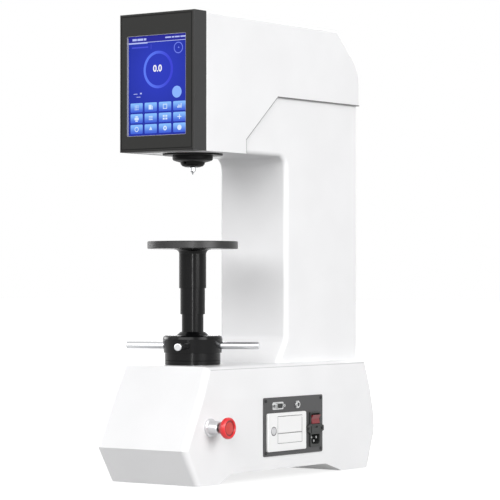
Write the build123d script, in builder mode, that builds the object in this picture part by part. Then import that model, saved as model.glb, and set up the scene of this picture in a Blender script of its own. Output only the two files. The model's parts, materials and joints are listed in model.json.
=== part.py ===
from build123d import *
import os
from math import cos, radians, sin

# Bench-top digital Rockwell hardness tester: C-frame, elevating screw, motor-driven load train.
# Origin: where the vertical spindle axis meets the bench. -Y is the front, +X the panel side, +Z up.

# ---------------------------------------------------------------- overall sizes
machine_height = 765.0
throat_depth = 168.0        # spindle axis to the front face of the column
column_depth = 213.0        # front to back of the column
throat_top = 539.0          # underside of the head above the bench
column_width = 142.0
column_rear = throat_depth + column_depth

# ---------------------------------------------------------------- base
base_width = 184.0
base_top = 190.0
base_front_top = -73.0
base_nose = -139.3          # foremost line of the base
base_nose_height = 58.0
base_front_bottom = -103.0
base_rear_top = column_rear + 7.0
base_rear_nose = column_rear + 32.0
base_rear_low = 64.0
base_rear_high = 90.0
base_rear_bottom = column_rear + 9.0
base_edge_radius = 10.0
base_draft = 4.0            # how far each side leans in above the side panel
draft_start = 137.0
front_foot_end = -46.0
arch_start = -16.0
rear_foot_start = column_rear - 77.0
arch_end = rear_foot_start - 49.0
arch_height = 15.0
side_face = base_width / 2
casting_wall = 8.0
base_roof = 9.0
base_floor = 10.0

# ---------------------------------------------------------------- column and head arm
foot_flare = 27.0           # how far the column's foot comes forward
foot_flare_height = 40.0
throat_radius = 18.0
column_edge_radius = 8.0
arm_front = -45.0
arm_top = throat_top + 101.0
bay_wall = 11.0
bay_width = column_width - 2 * bay_wall     # electronics bay in the column's back
bay_depth = 70.0
bay_bottom = base_top + 46.0
bay_top = throat_top - 3.0
bay_web = 8.0               # wall between the bay and the column's hollow
column_wall = 10.0
nose_back = 30.0            # the arm is solid in front of this, round the spindle bush
lip_height = 10.0           # lip in front of the nose that closes the head's underside
rear_cover_lap = 8.0
rear_cover_thickness = 2.0
board_width = 88.0
board_height = 140.0
board_thickness = 1.6
board_standoff = 12.0
supply_width = 84.0
supply_height = 110.0
supply_depth = 36.0

# ---------------------------------------------------------------- head cover and bezel
cover_wall = 3.0
cover_front = -63.5
cover_gap = 2.8             # between the cover's wall and the casting's side
head_width = column_width + 2 * (cover_gap + cover_wall)
cover_rear = column_rear + 0.4 + cover_wall
cover_roof_end = cover_rear - 68.0
cover_back_slope_y = cover_rear - 14.0
cover_back_slope_z = machine_height - 50.0
cover_rear_bend = cover_back_slope_z - 26.0
cover_seam = arm_top - 0.5
seam_slope_top_y = throat_depth - 32.0
seam_slope_low_y = 45.7
seam_slope_low_z = throat_top + 24.0
cover_edge_radius = 5.0
bezel_depth = 33.8
bezel_front = cover_front - bezel_depth
bezel_wall = 3.2
bezel_edge_radius = 2.5
window_width = 122.0        # 8-inch 4:3 display, upright
window_height = 164.0
window_bottom = throat_top + 25.5
glass_thickness = 1.2
glass_lap = 5.0
panel_thickness = 8.0
panel_width = window_width + 14.0
panel_height = window_height + 22.0
post_radius = 5.0           # posts that hold the display's bracket to the arm
post_offset = 52.0
cable_hole_radius = 14.0

# ---------------------------------------------------------------- elevating screw and table
specimen_face = 394.0       # top of the test table
table_radius = 75.0
table_thickness = 12.3
table_stem_radius = 8.0
table_stem_length = 36.0
screw_radius = 15.0
screw_bottom = base_top - 134.0
key_width = 6.0
key_depth = 3.0
running_gap = 0.05          # radial clearance of a running fit
seat_gap = 0.1              # clearance of a fixed seat
lift_down = 45.0            # travel of the table below its rest height
lift_up = 104.0             # and above it
well_floor = screw_bottom - lift_down - 1.0
well_radius = screw_radius + 1.5
well_boss_radius = well_radius + 8.5
well_boss_bottom = well_floor - 4.0

# ---------------------------------------------------------------- dust sleeves
sleeve_wall = 1.4
low_sleeve_radius = screw_radius + 1.6 + sleeve_wall
middle_sleeve_radius = low_sleeve_radius + 1.1 + sleeve_wall
top_sleeve_radius = middle_sleeve_radius + 0.6 + sleeve_wall
top_sleeve_flare = 7.5      # radius of the hollow curve under the table
top_sleeve_flange_radius = top_sleeve_radius + top_sleeve_flare + 0.5
top_sleeve_flange_height = 1.2
top_sleeve_bottom = base_top + 126.5
middle_sleeve_bottom = base_top + 83.5
middle_sleeve_length = 88.3
middle_sleeve_top = middle_sleeve_bottom + middle_sleeve_length
low_sleeve_bottom = base_top + 23.0
low_sleeve_length = 101.0
low_sleeve_top = low_sleeve_bottom + low_sleeve_length

# ---------------------------------------------------------------- handwheel
hub_bottom = base_top + 0.6
hub_radius = 49.5
hub_low_radius = hub_radius - 3.5
hub_step = base_top + 20.0
hub_shoulder = base_top + 48.5
hub_boss_radius = low_sleeve_radius + 9.0
hub_boss_top = base_top + 54.5
nut_radius = screw_radius + 7.0
nut_height = 28.5
hub_stub_radius = nut_radius + 5.0
hub_stub_bottom = base_top - 19.0
hub_shelf_bottom = hub_stub_bottom + nut_height
hub_shelf_top = hub_shelf_bottom + 2.0
ring_height = 7.0
groove = 1.2
bar_count = 4
bar_radius = 6.0
bar_reach = 112.0           # axis to the tip of a bar
bar_root = hub_radius - 15.5
bar_height = base_top + 32.0
bar_turn = -64.8            # direction of the first bar, degrees from +X
bearing_radius = hub_stub_radius + 9.0
bearing_height = 6.5
bearing_seat = hub_bottom - 0.1 - bearing_height
ring_inner_radius = bearing_radius + 2.0
bush_top = hub_stub_bottom - 0.5
bush_bottom = bush_top - 30.5

# ---------------------------------------------------------------- spindle and load train
spindle_radius = 10.0
spindle_bottom = throat_top - 23.0
spindle_top = arm_top + 12.0
bush_radius = spindle_radius + 10.0
plate_thickness = 3.0       # black disc under the head
plate_radius = 50.0
housing_height = 19.0
shank_radius = 3.175
shank_length = 16.0
shank_gap = 0.03
indenter_radius = 5.0
tip_height = spindle_bottom - 12.0
grub_radius = 2.0
grub_height = spindle_bottom + 8.0
bracket_width = 100.0
bracket_front = -45.0
bracket_back = 172.0
bracket_wall_y = 85.0
bracket_plate = 8.0
bracket_wall = 10.0
bracket_top = arm_top + 106.0
cell_radius = 18.0
bracket_hole = cell_radius + 12.0
cell_height = 16.0
crosshead_width = 80.0
crosshead_depth = 36.0
crosshead_height = 22.0
rod_radius = 5.0
rod_spacing = 60.0
ball_screw_radius = 8.0
pulley_bottom = bracket_top + 1.0
pulley_height = 10.0
screw_pulley_radius = 22.0
motor_pulley_radius = 11.0
belt_thickness = 1.5
belt_gap = 0.2
motor_size = 56.4
motor_height = 56.0
motor_axis_y = 140.0
motor_shaft_radius = 4.0

# ---------------------------------------------------------------- side panel and what it holds
panel_front = 71.2
panel_back = 242.5
panel_low = 37.0
panel_high = 134.4
plate_depth = 2.0
panel_face = side_face + plate_depth
panel_corner = 3.0
panel_screw_inset = 5.5
screw_head_radius = 2.8
screw_head_height = 1.4
screw_shank_radius = 1.5

printer_front = 78.6
printer_back = 189.6
printer_low = 44.4
printer_high = 108.4
printer_lip = 3.4
printer_depth = 50.0
printer_tub_inset = 3.5
mouth_front = printer_front + 28.0
mouth_back = printer_back - 13.3
mouth_high = printer_high - 6.1
mouth_low = printer_low + 13.5
slit_height = printer_low + 29.8
tub_wall = 2.0
door_gap = 0.4
door_thickness = 2.6
hinge_drop = 2.6
hinge_pin_radius = 1.2
button_y = printer_front + 15.2
button_z = (printer_low + printer_high) / 2 + 2.2
button_radius = 5.6
button_ring_radius = button_radius + 2.0
roll_radius = 14.5
roll_core = 6.0
roll_x = side_face - 28.0
roll_z = mouth_high - roll_radius - 2.0
platen_radius = 4.0
platen_x = side_face - 3.5
platen_z = slit_height + platen_radius + 2.0
platen_length = mouth_back - mouth_front - 15.0
roll_length = platen_length - 0.5

serial_y = 110.2
serial_z = 120.3
serial_width = 31.0
serial_height = 12.5
shell_width = 17.5
shell_height = 9.0
shell_reach = 5.6
jack_offset = 12.5
round_y = 166.4
round_z = 120.3
round_radius = 5.0
round_hole = 3.2

inlet_y = 217.3
inlet_low = 46.5
inlet_high = 105.5
inlet_width = 30.0
inlet_ear = 25.0
inlet_ear_z = inlet_low + 31.0
inlet_flange = 3.0
inlet_body_width = 26.6
inlet_depth = 34.0
cavity_width = 24.4
cavity_low = inlet_low + 4.3
cavity_high = cavity_low + 16.9
cavity_depth = 16.5
inlet_pin_width = 2.0
inlet_pin_height = 4.0
fuse_low = cavity_high + 2.4
fuse_high = fuse_low + 11.2
fuse_width = 24.0
fuse_depth = 24.0
rocker_low = fuse_high + 3.6
rocker_high = rocker_low + 18.0
rocker_width = 24.0
rocker_recess = 9.0
trunnion_radius = 1.2

estop_y = -74.0
estop_z = 93.3
estop_collar_radius = 14.5
estop_collar_length = 20.0
estop_neck_radius = 11.8
estop_stem_radius = 6.0
estop_head_radius = 17.5
estop_head_bottom = 25.0    # above the side face
estop_head_top = 41.0
estop_hole_radius = 9.5
estop_travel = 4.0
contact_size = 30.0
contact_depth = 34.0

os.makedirs("parts", exist_ok=True)


def save(piece, name):
    piece.part.label = name
    export_step(piece.part, f"parts/{name}.step")


def box_between(low, high, mode=Mode.ADD):
    """A block between two opposite corners."""
    size = [b - a for a, b in zip(low, high)]
    middle = tuple((a + b) / 2 for a, b in zip(low, high))
    with Locations(middle):
        Box(*size, mode=mode)


def disc(radius, bottom, top, at=(0, 0), mode=Mode.ADD):
    """An upright cylinder between two heights."""
    with Locations((at[0], at[1], (bottom + top) / 2)):
        Cylinder(radius, top - bottom, mode=mode)


def side_disc(radius, x_low, x_high, y, z, mode=Mode.ADD):
    """A cylinder along X between two distances from the machine's middle plane."""
    with Locations(((x_low + x_high) / 2, y, z)):
        Cylinder(radius, x_high - x_low, rotation=(0, 90, 0), mode=mode)


def cross_disc(radius, y_low, y_high, x, z, mode=Mode.ADD):
    """A cylinder along Y."""
    with Locations((x, (y_low + y_high) / 2, z)):
        Cylinder(radius, y_high - y_low, rotation=(90, 0, 0), mode=mode)


def turned(points):
    """Revolve a closed (radius, height) outline about the spindle axis."""
    with BuildSketch(Plane.XZ) as outline:
        with BuildLine():
            Polyline(*points, close=True)
        make_face()
    revolve(outline.sketch, axis=Axis.Z)


# ---------------------------------------------------------------- base housing
with BuildPart() as base_housing:
    with BuildSketch(Plane.YZ):
        with BuildLine():
            Polyline(
                (base_front_bottom, 0),
                (front_foot_end, 0),
                (arch_start, arch_height),
                (arch_end, arch_height),
                (rear_foot_start, 0),
                (base_rear_bottom, 0),
                (base_rear_nose, base_rear_low),
                (base_rear_nose, base_rear_high),
                (base_rear_top, base_top),
                (base_front_top, base_top),
                (base_nose, base_nose_height),
                close=True,
            )
        make_face()
    extrude(amount=side_face, both=True)
    # the sides lean in above the panel
    for side in (-1, 1):
        with BuildSketch(Plane.XZ) as lean:
            with BuildLine():
                Polyline(
                    (side * side_face, draft_start),
                    (side * (side_face + 1), draft_start),
                    (side * (side_face + 1), base_top + 1),
                    (side * (side_face - base_draft), base_top + 1),
                    close=True,
                )
            make_face()
        extrude(lean.sketch, amount=base_rear_nose + 1, both=True, mode=Mode.SUBTRACT)
    outline = [e for e in base_housing.edges() if abs(e.center().X) > side_face - base_draft - 1]
    rounded = [e for e in outline if e.center().Z > arch_height + 1 or e.center().Y < base_front_bottom]
    fillet([e for e in rounded if abs(e.center().Z - draft_start) > 1], base_edge_radius)
    # hollow casting
    box_between(
        (-side_face + casting_wall, base_front_top + casting_wall, arch_height + base_floor),
        (side_face - casting_wall, base_rear_top - 2 * casting_wall, base_top - base_roof),
        mode=Mode.SUBTRACT,
    )
    # screw well with its closed boss in the arch
    disc(well_boss_radius, well_boss_bottom, bush_bottom)
    disc(hub_stub_radius + casting_wall, bush_bottom - casting_wall, base_top)
    disc(bearing_radius + casting_wall, bearing_seat - casting_wall, base_top)
    disc(well_radius, well_floor, base_top, mode=Mode.SUBTRACT)
    disc(hub_stub_radius + 0.4, bush_bottom, base_top, mode=Mode.SUBTRACT)
    disc(bearing_radius + seat_gap, bearing_seat, base_top, mode=Mode.SUBTRACT)
    # bays behind the side panel
    box_between(
        (side_face - printer_depth - 2, printer_front + 2, printer_low + 2),
        (side_face, printer_back - 2, printer_high - 2),
        mode=Mode.SUBTRACT,
    )
    box_between(
        (side_face - inlet_depth - 8, inlet_y - inlet_body_width / 2 - 1, inlet_low + 3),
        (side_face, inlet_y + inlet_body_width / 2 + 1, inlet_high - 2),
        mode=Mode.SUBTRACT,
    )
    box_between(
        (side_face - 20, serial_y - 10, serial_z - 6),
        (side_face, round_y + 8, serial_z + 6),
        mode=Mode.SUBTRACT,
    )
    # bay of the emergency stop's contacts
    box_between(
        (side_face - contact_depth - 12, estop_y - 18, estop_z - 18),
        (side_face - 6, estop_y + 18, estop_z + 18),
        mode=Mode.SUBTRACT,
    )
    side_disc(estop_hole_radius + seat_gap, side_face - 7, side_face, estop_y, estop_z, Mode.SUBTRACT)
save(base_housing, "base_housing")

# ---------------------------------------------------------------- column with the head arm
with BuildPart() as nose_lip:
    box_between(
        (-column_width / 2, cover_front, throat_top),
        (column_width / 2, arm_front, throat_top + lip_height),
    )
    fillet(nose_lip.edges().filter_by(Axis.Y).sort_by(Axis.Z)[:2], column_edge_radius)

with BuildPart() as frame_column:
    with BuildSketch(Plane.YZ):
        with BuildLine():
            Polyline(
                (column_rear, base_top),
                (column_rear, arm_top),
                (arm_front, arm_top),
                (arm_front, throat_top),
                (throat_depth, throat_top),
                (throat_depth, base_top + foot_flare_height),
                (throat_depth - foot_flare, base_top),
                close=True,
            )
        make_face()
        inner = [v for v in vertices() if abs(v.X - throat_depth) < 1]
        fillet(inner, throat_radius)
    extrude(amount=column_width / 2, both=True)
    sides = frame_column.edges().filter_by(Plane.YZ)
    inner_run = [e for e in sides if e.center().Y < throat_depth + 1 and e.center().Z < arm_top - 1
                 and e.center().Z > base_top + 1 and e.center().Y > arm_front + 1]
    fillet(inner_run, column_edge_radius)
    add(nose_lip.part)
    # bore for the spindle bush
    disc(bush_radius + seat_gap, throat_top, arm_top, mode=Mode.SUBTRACT)
    # hollow column and arm
    box_between(
        (-column_width / 2 + column_wall, throat_depth + column_wall, base_top + column_wall),
        (column_width / 2 - column_wall, column_rear - bay_depth - bay_web, arm_top - column_wall),
        mode=Mode.SUBTRACT,
    )
    box_between(
        (-column_width / 2 + column_wall, nose_back, throat_top + column_wall),
        (column_width / 2 - column_wall, column_rear - column_wall, arm_top - column_wall),
        mode=Mode.SUBTRACT,
    )
    # electronics bay, open to the back
    box_between(
        (-bay_width / 2, column_rear - bay_depth, bay_bottom),
        (bay_width / 2, column_rear, bay_top),
        mode=Mode.SUBTRACT,
    )
save(frame_column, "frame_column")

# ---------------------------------------------------------------- head cover
with BuildPart() as head_cover:
    with BuildSketch(Plane.YZ):
        with BuildLine():
            Polyline(
                (cover_front, throat_top),
                (cover_front, machine_height),
                (cover_roof_end, machine_height),
                (cover_back_slope_y, cover_back_slope_z),
                (cover_rear, cover_rear_bend),
                (cover_rear, cover_seam),
                (seam_slope_top_y, cover_seam),
                (seam_slope_low_y, seam_slope_low_z),
                (seam_slope_low_y, throat_top),
                close=True,
            )
        make_face()
        rear_corners = [v for v in vertices() if v.X > cover_roof_end - 1 and v.Y > cover_seam + 1]
        fillet(rear_corners, 12)
    extrude(amount=head_width / 2, both=True)
    side_edges = head_cover.edges().filter_by(Plane.YZ)
    top_edges = [e for e in side_edges if e.center().Z > cover_seam + 20 and e.center().Y > cover_front + 1]
    fillet(top_edges, cover_edge_radius)
    with BuildSketch(Plane.YZ):
        with BuildLine():
            Polyline(
                (cover_front - 1, throat_top - 1),
                (cover_front - 1, machine_height - cover_wall),
                (cover_roof_end - 1, machine_height - cover_wall),
                (cover_back_slope_y - cover_wall, cover_back_slope_z - cover_wall),
                (cover_rear - cover_wall, cover_rear_bend),
                (cover_rear - cover_wall, throat_top - 1),
                close=True,
            )
        make_face()
    extrude(amount=head_width / 2 - cover_wall, both=True, mode=Mode.SUBTRACT)
save(head_cover, "head_cover")

# ---------------------------------------------------------------- bezel with the screen
window_z = window_bottom + window_height / 2
bezel_height = machine_height - throat_top
bezel_z = throat_top + bezel_height / 2
with BuildPart() as bezel:
    box_between(
        (-head_width / 2, bezel_front, throat_top),
        (head_width / 2, cover_front, machine_height),
    )
    outer_edges = bezel.faces().sort_by(Axis.Y)[0].edges()
    fillet(outer_edges, bezel_edge_radius)
    box_between(
        (-head_width / 2 + bezel_wall, bezel_front + bezel_wall + 0.8, throat_top + bezel_wall),
        (head_width / 2 - bezel_wall, cover_front, machine_height - bezel_wall),
        mode=Mode.SUBTRACT,
    )
    with BuildSketch(Plane.XZ.offset(-bezel_front)):
        with Locations((0, window_z)):
            RectangleRounded(window_width, window_height, 2)
    extrude(amount=-(bezel_wall + 2), mode=Mode.SUBTRACT)
save(bezel, "bezel")

glass_back = bezel_front + bezel_wall + 0.8 + glass_thickness
with BuildPart() as touch_glass:
    box_between(
        (-window_width / 2 - glass_lap, glass_back - glass_thickness, window_bottom - glass_lap),
        (window_width / 2 + glass_lap, glass_back, window_bottom + window_height + glass_lap),
    )
save(touch_glass, "touch_glass")

panel_back_y = glass_back + panel_thickness
with BuildPart() as screen_panel:
    box_between(
        (-panel_width / 2, glass_back, window_z - panel_height / 2),
        (panel_width / 2, panel_back_y, window_z + panel_height / 2),
    )
    chamfer(screen_panel.edges().filter_by(Axis.Y), 2)
    box_between(
        (-panel_width / 2 + 8, panel_back_y, window_z - 60),
        (panel_width / 2 - 8, panel_back_y + 5, window_z + 30),
    )
save(screen_panel, "screen_panel")

bracket_y = panel_back_y + 5
with BuildPart() as display_bracket:
    box_between(
        (-head_width / 2 + bezel_wall + 0.3, bracket_y, throat_top + bezel_wall + 0.3),
        (head_width / 2 - bezel_wall - 0.3, bracket_y + 2, machine_height - bezel_wall - 0.3),
    )
    cross_disc(cable_hole_radius, bracket_y, bracket_y + 2, 0, window_z + 55, Mode.SUBTRACT)
    # four posts that reach back to the arm's nose
    for x in (-post_offset, post_offset):
        for z in (throat_top + 18, arm_top - 14):
            cross_disc(post_radius, bracket_y + 2, arm_front, x, z)
save(display_bracket, "display_bracket")

# ---------------------------------------------------------------- plate under the head
plate_bottom = throat_top - plate_thickness
with BuildPart() as underside_plate:
    with BuildSketch(Plane.XY.offset(plate_bottom)):
        Circle(plate_radius)
        Circle(spindle_radius + 3, mode=Mode.SUBTRACT)
    extrude(amount=plate_thickness)
    fillet(underside_plate.faces().sort_by(Axis.Z)[0].outer_wire().edges(), 1)
save(underside_plate, "underside_plate")

with BuildPart() as indenter_housing:
    bore = spindle_radius + 0.6
    foot = plate_bottom - housing_height
    turned([
        (bore, foot), (bore + 1.9, foot), (bore + 6.4, foot + 1.5), (bore + 9, foot + 4.5),
        (bore + 10, foot + 7.5), (bore + 17.5, foot + 9.5), (bore + 21.5, foot + 11),
        (bore + 22.9, foot + 13), (bore + 22.9, plate_bottom), (bore, plate_bottom),
    ])
    cross_disc(grub_radius + 0.4, -bore - 14, -bore + 1, 0, grub_height, mode=Mode.SUBTRACT)
save(indenter_housing, "indenter_housing")

with BuildPart() as spindle_bush:
    disc(bush_radius, throat_top, arm_top)
    disc(spindle_radius + running_gap, throat_top, arm_top, mode=Mode.SUBTRACT)
    chamfer(spindle_bush.edges().filter_by(GeomType.CIRCLE), 0.8)
save(spindle_bush, "spindle_bush")

# ---------------------------------------------------------------- spindle with the indenter
with BuildPart() as spindle:
    disc(spindle_radius, spindle_bottom, spindle_top)
    chamfer(spindle.edges().filter_by(GeomType.CIRCLE), 1)
    disc(shank_radius + shank_gap, spindle_bottom, spindle_bottom + shank_length + 1, mode=Mode.SUBTRACT)
    cross_disc(grub_radius + shank_gap, -spindle_radius - 1, -shank_radius, 0, grub_height, Mode.SUBTRACT)
save(spindle, "spindle")

with BuildPart() as indenter:
    turned([
        (0, tip_height), (0.5, tip_height + 0.2), (3.2, tip_height + 4.6), (indenter_radius, tip_height + 6),
        (indenter_radius, spindle_bottom), (shank_radius, spindle_bottom),
        (shank_radius, spindle_bottom + shank_length), (0, spindle_bottom + shank_length),
    ])
save(indenter, "indenter")

with BuildPart() as indenter_screw:
    cross_disc(grub_radius, -spindle_radius + 0.6, -shank_radius - 0.1, 0, grub_height)
    cross_disc(1, -spindle_radius + 0.6, -spindle_radius + 2.4, 0, grub_height, mode=Mode.SUBTRACT)
save(indenter_screw, "indenter_screw")

# ---------------------------------------------------------------- load train in the head
with BuildPart() as load_bracket:
    half = bracket_width / 2
    box_between((-half, bracket_front, arm_top), (half, bracket_wall_y + bracket_wall, arm_top + bracket_plate))
    box_between((-half, bracket_wall_y, arm_top), (half, bracket_wall_y + bracket_wall, bracket_top))
    box_between((-half, bracket_front, bracket_top - bracket_plate), (half, bracket_back, bracket_top))
    disc(bracket_hole, arm_top, arm_top + bracket_plate, mode=Mode.SUBTRACT)
    disc(ball_screw_radius + running_gap, bracket_top - bracket_plate, bracket_top, mode=Mode.SUBTRACT)
    disc(motor_shaft_radius + 2, bracket_top - bracket_plate, bracket_top, (0, motor_axis_y), Mode.SUBTRACT)
    # gusset between the wall and the overhanging top plate
    for x in (-half + 4, half - 4):
        with BuildSketch(Plane.YZ.offset(x)):
            with BuildLine():
                Polyline(
                    (bracket_wall_y, bracket_top - bracket_plate),
                    (bracket_wall_y, bracket_top - 50),
                    (bracket_wall_y - 40, bracket_top - bracket_plate),
                    close=True,
                )
            make_face()
        extrude(amount=3, both=True)
save(load_bracket, "load_bracket")

cell_bottom = spindle_top
cell_top = cell_bottom + cell_height
with BuildPart() as load_cell:
    disc(cell_radius, cell_bottom, cell_top)
    disc(cell_radius - 4, cell_bottom + 5, cell_top - 5)
    with BuildSketch(Plane.XZ):
        with Locations((cell_radius, (cell_bottom + cell_top) / 2)):
            Rectangle(6, 6)
    revolve(axis=Axis.Z, mode=Mode.SUBTRACT)
save(load_cell, "load_cell")

crosshead_top = cell_top + crosshead_height
with BuildPart() as crosshead:
    box_between(
        (-crosshead_width / 2, -crosshead_depth / 2, cell_top),
        (crosshead_width / 2, crosshead_depth / 2, crosshead_top),
    )
    chamfer(crosshead.edges().filter_by(Axis.Z), 4)
    disc(ball_screw_radius + running_gap, cell_top + 2, crosshead_top, mode=Mode.SUBTRACT)
    for x in (-rod_spacing / 2, rod_spacing / 2):
        disc(rod_radius + running_gap, cell_top, crosshead_top, (x, 0), Mode.SUBTRACT)
save(crosshead, "crosshead")

with BuildPart() as guide_rods:
    for x in (-rod_spacing / 2, rod_spacing / 2):
        disc(rod_radius, arm_top + bracket_plate, bracket_top - bracket_plate, (x, 0))
save(guide_rods, "guide_rods")

with BuildPart() as ball_screw:
    disc(ball_screw_radius, cell_top + 6, pulley_bottom + pulley_height)
    chamfer(ball_screw.edges().filter_by(GeomType.CIRCLE), 0.6)
save(ball_screw, "ball_screw")


def pulley(radius, bore, at):
    """A toothed pulley with a flange at its foot."""
    disc(radius, pulley_bottom, pulley_bottom + pulley_height, at)
    disc(radius + 2.4, pulley_bottom, pulley_bottom + 1, at)
    teeth = round(radius * 1.6)
    with BuildSketch(Plane.XY.offset(pulley_bottom + 1)) as gaps:
        with Locations(at):
            with PolarLocations(radius, teeth):
                Circle(0.8)
    extrude(gaps.sketch, amount=pulley_height - 1, mode=Mode.SUBTRACT)
    if bore:
        disc(bore, pulley_bottom, pulley_bottom + pulley_height, at, Mode.SUBTRACT)


with BuildPart() as screw_pulley:
    pulley(screw_pulley_radius, ball_screw_radius + running_gap, (0, 0))
save(screw_pulley, "screw_pulley")

with BuildPart() as motor_pulley:
    pulley(motor_pulley_radius, 0, (0, motor_axis_y))
    disc(motor_shaft_radius, bracket_top - bracket_plate + 0.2, pulley_bottom, (0, motor_axis_y))
save(motor_pulley, "motor_pulley")

with BuildPart() as drive_belt:
    with BuildSketch(Plane.XY.offset(pulley_bottom + 1.5)):
        with BuildSketch(mode=Mode.PRIVATE) as big_end:
            Circle(screw_pulley_radius + belt_gap + belt_thickness)
        with BuildSketch(mode=Mode.PRIVATE) as small_end:
            with Locations((0, motor_axis_y)):
                Circle(motor_pulley_radius + belt_gap + belt_thickness)
        add(make_hull(big_end.edges() + small_end.edges(), mode=Mode.PRIVATE))
        offset(amount=-belt_thickness, mode=Mode.SUBTRACT)
    extrude(amount=pulley_height - 2)
save(drive_belt, "drive_belt")

with BuildPart() as stepper_motor:
    motor_top = bracket_top - bracket_plate
    half = motor_size / 2
    box_between((-half, motor_axis_y - half, motor_top - motor_height), (half, motor_axis_y + half, motor_top))
    chamfer(stepper_motor.edges().filter_by(Axis.Z), 4)
    box_between((-8, motor_axis_y + half, motor_top - motor_height), (8, motor_axis_y + half + 8, motor_top - 46))
save(stepper_motor, "stepper_motor")

with BuildPart() as depth_encoder:
    encoder_foot = arm_top + bracket_plate
    encoder_x = crosshead_width / 2
    box_between((encoder_x + 1, -11, encoder_foot), (encoder_x + 9, 11, encoder_foot + 52))
    box_between((encoder_x + 9, -5, encoder_foot), (encoder_x + 12, 5, encoder_foot + 14))
    fillet(depth_encoder.edges().filter_by(Axis.Z), 1)
save(depth_encoder, "depth_encoder")

# ---------------------------------------------------------------- electronics in the column
bay_floor = column_rear - bay_depth
board_bottom = bay_top - 16 - board_height
board_back = bay_floor + board_standoff
board_front = board_back + board_thickness


def component(x_low, x_high, z_low, z_high, rise):
    """A block on the board, at heights measured from the board's lower edge."""
    box_between(
        (x_low, board_front, board_bottom + z_low), (x_high, board_back + rise, board_bottom + z_high)
    )


with BuildPart() as control_board:
    box_between(
        (-board_width / 2, board_back, board_bottom),
        (board_width / 2, board_front, board_bottom + board_height),
    )
    for x in (-board_width / 2 + 6, board_width / 2 - 6):
        for z in (board_bottom + 6, board_bottom + board_height - 6):
            cross_disc(3, bay_floor, board_back, x, z)
    component(-30, -2, 20, 48, 6)
    component(8, 34, 16, 32, 12)
    component(-36, 36, board_height - 20, board_height - 9, 10)
    for z in (60, 76, 92):
        component(6, 30, z, z + 10, 5)
    cross_disc(7, board_front, board_back + 20, -22, board_bottom + 80)
save(control_board, "control_board")

supply_bottom = bay_bottom + 14
supply_back = bay_floor + supply_depth
with BuildPart() as power_supply:
    box_between(
        (-supply_width / 2, bay_floor, supply_bottom),
        (supply_width / 2, supply_back, supply_bottom + supply_height),
    )
    chamfer(power_supply.edges().filter_by(Axis.Y), 1.5)
    with BuildSketch(Plane.XZ.offset(-supply_back)):
        with Locations((0, supply_bottom + 62)):
            with GridLocations(0, 7, 1, 9):
                SlotOverall(60, 3)
    extrude(amount=2, mode=Mode.SUBTRACT)
save(power_supply, "power_supply")

cover_low = bay_bottom - rear_cover_lap
cover_high = bay_top + rear_cover_lap
cover_half = bay_width / 2 + rear_cover_lap
with BuildPart() as rear_cover:
    box_between(
        (-cover_half, column_rear, cover_low), (cover_half, column_rear + rear_cover_thickness, cover_high)
    )
    fillet(rear_cover.edges().filter_by(Axis.Y), 4)
    with BuildSketch(Plane.XZ.offset(-(column_rear + rear_cover_thickness))):
        with Locations((0, cover_low + 70), (0, cover_high - 70)):
            with GridLocations(0, 8, 1, 7):
                SlotOverall(56, 3)
    extrude(amount=rear_cover_thickness, mode=Mode.SUBTRACT)
save(rear_cover, "rear_cover")

with BuildPart() as rear_cover_screws:
    back = column_rear + rear_cover_thickness
    for x in (-cover_half + 4.5, cover_half - 4.5):
        for z in (cover_low + 4.5, (cover_low + cover_high) / 2, cover_high - 4.5):
            cross_disc(screw_head_radius, back, back + screw_head_height, x, z)
save(rear_cover_screws, "rear_cover_screws")

# ---------------------------------------------------------------- elevating screw, table and sleeves
table_bottom = specimen_face - table_thickness
with BuildPart() as elevating_screw:
    disc(screw_radius, screw_bottom, table_bottom)
    chamfer(elevating_screw.edges().filter_by(GeomType.CIRCLE), 1)
    disc(table_stem_radius + seat_gap, table_bottom - table_stem_length - 2, table_bottom, mode=Mode.SUBTRACT)
    # keyway down the back
    box_between(
        (-key_width / 2 - seat_gap, screw_radius - key_depth, screw_bottom),
        (key_width / 2 + seat_gap, screw_radius + 1, table_bottom - 60),
        mode=Mode.SUBTRACT,
    )
save(elevating_screw, "elevating_screw")

with BuildPart() as test_table:
    disc(table_radius, table_bottom, specimen_face)
    chamfer(test_table.edges().filter_by(GeomType.CIRCLE), 1)
    disc(table_stem_radius, table_bottom - table_stem_length, table_bottom)
save(test_table, "test_table")

with BuildPart() as guide_bush:
    disc(hub_stub_radius, bush_bottom, bush_top)
    disc(screw_radius + running_gap, bush_bottom, bush_top, mode=Mode.SUBTRACT)
    box_between(
        (-key_width / 2, screw_radius - key_depth + seat_gap, bush_bottom),
        (key_width / 2, screw_radius + 2, bush_top),
    )
save(guide_bush, "guide_bush")


def sleeve(radius, bottom, top):
    """A thin tube, open at both ends."""
    disc(radius, bottom, top)
    disc(radius - sleeve_wall, bottom, top, mode=Mode.SUBTRACT)


with BuildPart() as top_sleeve:
    disc(top_sleeve_radius, top_sleeve_bottom, table_bottom)
    flange_low = table_bottom - top_sleeve_flange_height
    disc(top_sleeve_flange_radius, flange_low, table_bottom)
    rings = top_sleeve.edges().filter_by(GeomType.CIRCLE)
    under_flange = [e for e in rings if abs(e.center().Z - flange_low) < 0.01 and e.radius < top_sleeve_radius + 0.01]
    fillet(under_flange, top_sleeve_flare)
    disc(top_sleeve_radius - sleeve_wall, top_sleeve_bottom, table_bottom, mode=Mode.SUBTRACT)
save(top_sleeve, "top_sleeve")

with BuildPart() as middle_sleeve:
    sleeve(middle_sleeve_radius, middle_sleeve_bottom, middle_sleeve_top)
save(middle_sleeve, "middle_sleeve")

with BuildPart() as low_sleeve:
    sleeve(low_sleeve_radius, low_sleeve_bottom, low_sleeve_top)
save(low_sleeve, "low_sleeve")

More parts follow.
